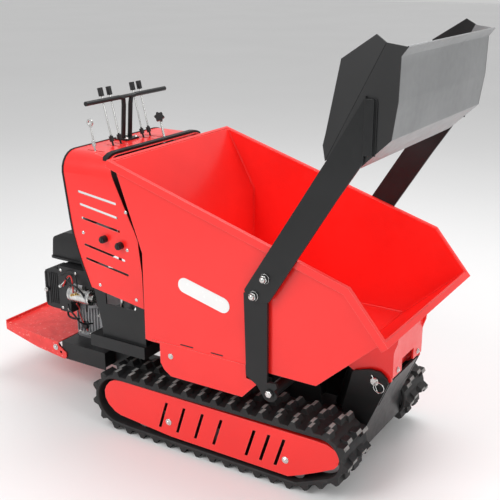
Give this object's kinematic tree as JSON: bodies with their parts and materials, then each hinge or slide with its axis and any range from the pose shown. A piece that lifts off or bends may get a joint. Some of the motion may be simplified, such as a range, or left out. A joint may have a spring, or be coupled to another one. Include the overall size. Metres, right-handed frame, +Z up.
{
  "type": "power wheelbarrow",
  "caption": "Tracked power wheelbarrow with a forward-tipping hopper, a self-loading shovel on swing arms, rear engine, lever console and folding foot platform.",
  "frame": {"origin": "on the ground, under the middle of the overall length and width", "axes": "+X forward, the way the hopper tips; +Y to the machine's left; +Z up"},
  "size_m": [1.746, 0.756, 1.4564],
  "materials": {
    "red_paint": "satin red powder coat",
    "black_paint": "satin black powder coat",
    "rubber": "moulded black rubber",
    "zinc": "bright zinc plate",
    "cast_iron": "as cast, painted dark",
    "cast_alloy": "die cast",
    "satin_steel": "satin steel",
    "black_plastic": "fine grain black",
    "label": "gloss white"
  },
  "bodies": {
    "chassis": {"track_cover_right": "red_paint", "track_cover_left": "red_paint", "console_shell": "red_paint", "track_frame_right": "black_paint", "track_frame_left": "black_paint", "chassis_frame": "black_paint", "engine_base": "black_paint", "console_frame": "black_paint", "rubber_track_right": "rubber", "rubber_track_left": "rubber", "console_trim": "rubber", "console_seal": "rubber", "hopper_pin": "zinc", "starter_motor": "zinc", "hydraulic_pipe_1": "zinc", "hydraulic_pipe_2": "zinc", "engine_block": "cast_alloy", "hydraulic_pump": "cast_alloy", "valve_block": "cast_alloy", "muffler": "satin_steel", "engine_shroud": "black_plastic", "fuel_tank": "black_plastic", "air_filter": "black_plastic", "t_handle": "black_plastic"},
    "hopper": {"hopper": "red_paint", "hopper_rim": "red_paint", "hopper_bracket": "red_paint", "label_plate": "label"},
    "loader": {"loader_shaft": "black_paint", "lower_arm_right": "black_paint", "lower_arm_left": "black_paint", "upper_arm_right": "black_paint", "upper_arm_left": "black_paint", "shovel": "satin_steel"},
    "tip_ram_barrel": {"tip_ram_barrel": "black_paint"},
    "tip_ram_rod": {"tip_ram_rod": "zinc"},
    "loader_ram_barrel": {"loader_ram_barrel": "black_paint"},
    "loader_ram_rod": {"loader_ram_rod": "zinc"},
    "platform": {"platform": "red_paint"},
    "control_lever_1": {"control_lever_1": "black_plastic"},
    "control_lever_2": {"control_lever_2": "black_plastic"},
    "control_lever_3": {"control_lever_3": "black_plastic"},
    "control_lever_4": {"control_lever_4": "black_plastic"},
    "throttle_lever": {"throttle_lever": "zinc"},
    "star_stem": {"star_stem": "zinc"},
    "star_knob": {"star_knob": "black_plastic"},
    "panel_knob_1": {"panel_knob_1": "black_plastic"},
    "panel_knob_2": {"panel_knob_2": "black_plastic"},
    "fuel_cap": {"fuel_cap": "black_plastic"},
    "drive_sprocket_right": {"drive_sprocket_right": "cast_iron"},
    "idler_wheel_right": {"idler_wheel_right": "cast_iron"},
    "track_roller_1_right": {"track_roller_1_right": "cast_iron"},
    "track_roller_2_right": {"track_roller_2_right": "cast_iron"},
    "track_roller_3_right": {"track_roller_3_right": "cast_iron"},
    "drive_sprocket_left": {"drive_sprocket_left": "cast_iron"},
    "idler_wheel_left": {"idler_wheel_left": "cast_iron"},
    "track_roller_1_left": {"track_roller_1_left": "cast_iron"},
    "track_roller_2_left": {"track_roller_2_left": "cast_iron"},
    "track_roller_3_left": {"track_roller_3_left": "cast_iron"}
  },
  "joints": [
    {"name": "hopper_tip", "type": "hinge", "parent": "chassis", "child": "hopper", "pos_m": [0.729, 0, 0.354], "axis": [0, 1, 0], "range_deg": [0, 35]},
    {"name": "loader_swing", "type": "hinge", "parent": "chassis", "child": "loader", "pos_m": [0.47, 0, 0.338], "axis": [0, 1, 0], "range_deg": [0, 86]},
    {"name": "tip_ram_swing", "type": "hinge", "parent": "chassis", "child": "tip_ram_barrel", "pos_m": [0.546, 0, 0.15], "axis": [0, 1, 0], "range_deg": [0, 1.3]},
    {"name": "tip_ram_stroke", "type": "slide", "parent": "tip_ram_barrel", "child": "tip_ram_rod", "axis": [0.2759, 0, 0.9612], "range_m": [0, 0.0745]},
    {"name": "loader_ram_swing", "type": "hinge", "parent": "chassis", "child": "loader_ram_barrel", "pos_m": [0.106, 0, 0.16], "axis": [0, 1, 0], "range_deg": [0, 2.5]},
    {"name": "loader_ram_stroke", "type": "slide", "parent": "loader_ram_barrel", "child": "loader_ram_rod", "axis": [0.9327, 0, 0.3606], "range_m": [-0.0705, 0]},
    {"name": "platform_fold", "type": "hinge", "parent": "chassis", "child": "platform", "pos_m": [-0.602, 0, 0.18], "axis": [0, 1, 0], "range_deg": [0, 45]},
    {"name": "control_lever_1_swing", "type": "hinge", "parent": "chassis", "child": "control_lever_1", "pos_m": [-0.315, -0.121, 0.965], "axis": [0, 1, 0], "range_deg": [-12, 1], "stiffness_Nm_per_rad": 3},
    {"name": "control_lever_2_swing", "type": "hinge", "parent": "chassis", "child": "control_lever_2", "pos_m": [-0.315, -0.078, 0.965], "axis": [0, 1, 0], "range_deg": [-12, 1], "stiffness_Nm_per_rad": 3},
    {"name": "control_lever_3_swing", "type": "hinge", "parent": "chassis", "child": "control_lever_3", "pos_m": [-0.315, 0.056, 0.965], "axis": [0, 1, 0], "range_deg": [-12, 1], "stiffness_Nm_per_rad": 3},
    {"name": "control_lever_4_swing", "type": "hinge", "parent": "chassis", "child": "control_lever_4", "pos_m": [-0.315, 0.098, 0.965], "axis": [0, 1, 0], "range_deg": [-12, 1], "stiffness_Nm_per_rad": 3},
    {"name": "throttle_swing", "type": "hinge", "parent": "chassis", "child": "throttle_lever", "pos_m": [-0.315, -0.223, 0.965], "axis": [0, 1, 0], "range_deg": [-10, 12]},
    {"name": "star_stem_swing", "type": "hinge", "parent": "chassis", "child": "star_stem", "pos_m": [-0.272, 0.112, 0.985], "axis": [0, 1, 0], "range_deg": [-8, 8]},
    {"name": "star_knob_turn", "type": "hinge", "parent": "star_stem", "child": "star_knob", "pos_m": [-0.289, 0.105, 1.076], "axis": [0.5051, -0.8081, 0.303], "range_deg": [-120, 120]},
    {"name": "panel_knob_1_turn", "type": "hinge", "parent": "chassis", "child": "panel_knob_1", "pos_m": [-0.23, -0.31, 0.717], "axis": [0, 1, 0], "range_deg": [-45, 45]},
    {"name": "panel_knob_2_turn", "type": "hinge", "parent": "chassis", "child": "panel_knob_2", "pos_m": [-0.16, -0.31, 0.705], "axis": [0, 1, 0], "range_deg": [-45, 45]},
    {"name": "fuel_cap_turn", "type": "hinge", "parent": "chassis", "child": "fuel_cap", "pos_m": [-0.594, 0.03, 0.64], "axis": [0, 0, 1], "range_deg": [0, 90]},
    {"name": "idler_spin_right", "type": "hinge", "parent": "chassis", "child": "idler_wheel_right", "pos_m": [0.64, 0, 0.147], "axis": [0, 1, 0], "continuous": true},
    {"name": "sprocket_spin_right", "type": "hinge", "parent": "chassis", "child": "drive_sprocket_right", "pos_m": [-0.182, 0, 0.12], "axis": [0, 1, 0], "continuous": true},
    {"name": "roller_1_spin_right", "type": "hinge", "parent": "chassis", "child": "track_roller_1_right", "pos_m": [-0.079, 0, 0.0768], "axis": [0, 1, 0], "continuous": true},
    {"name": "roller_2_spin_right", "type": "hinge", "parent": "chassis", "child": "track_roller_2_right", "pos_m": [0.236, 0, 0.0768], "axis": [0, 1, 0], "continuous": true},
    {"name": "roller_3_spin_right", "type": "hinge", "parent": "chassis", "child": "track_roller_3_right", "pos_m": [0.551, 0, 0.0578], "axis": [0, 1, 0], "continuous": true},
    {"name": "idler_spin_left", "type": "hinge", "parent": "chassis", "child": "idler_wheel_left", "pos_m": [0.64, 0, 0.147], "axis": [0, 1, 0], "continuous": true},
    {"name": "sprocket_spin_left", "type": "hinge", "parent": "chassis", "child": "drive_sprocket_left", "pos_m": [-0.182, 0, 0.12], "axis": [0, 1, 0], "continuous": true},
    {"name": "roller_1_spin_left", "type": "hinge", "parent": "chassis", "child": "track_roller_1_left", "pos_m": [-0.079, 0, 0.0768], "axis": [0, 1, 0], "continuous": true},
    {"name": "roller_2_spin_left", "type": "hinge", "parent": "chassis", "child": "track_roller_2_left", "pos_m": [0.236, 0, 0.0768], "axis": [0, 1, 0], "continuous": true},
    {"name": "roller_3_spin_left", "type": "hinge", "parent": "chassis", "child": "track_roller_3_left", "pos_m": [0.551, 0, 0.0578], "axis": [0, 1, 0], "continuous": true}
  ],
  "couplings": [
    {"joint": "tip_ram_swing", "follows": "hopper_tip", "ratio": 0.0305},
    {"joint": "tip_ram_stroke", "follows": "hopper_tip", "m_per_rad": 0.11975},
    {"joint": "loader_ram_swing", "follows": "loader_swing", "ratio": 0.027},
    {"joint": "loader_ram_stroke", "follows": "loader_swing", "m_per_rad": -0.045951},
    {"joint": "sprocket_spin_right", "follows": "idler_spin_right", "ratio": 0.821},
    {"joint": "roller_1_spin_right", "follows": "idler_spin_right", "ratio": 1.5636},
    {"joint": "roller_2_spin_right", "follows": "idler_spin_right", "ratio": 1.5636},
    {"joint": "roller_3_spin_right", "follows": "idler_spin_right", "ratio": 2.752},
    {"joint": "sprocket_spin_left", "follows": "idler_spin_left", "ratio": 0.821},
    {"joint": "roller_1_spin_left", "follows": "idler_spin_left", "ratio": 1.5636},
    {"joint": "roller_2_spin_left", "follows": "idler_spin_left", "ratio": 1.5636},
    {"joint": "roller_3_spin_left", "follows": "idler_spin_left", "ratio": 2.752}
  ]
}
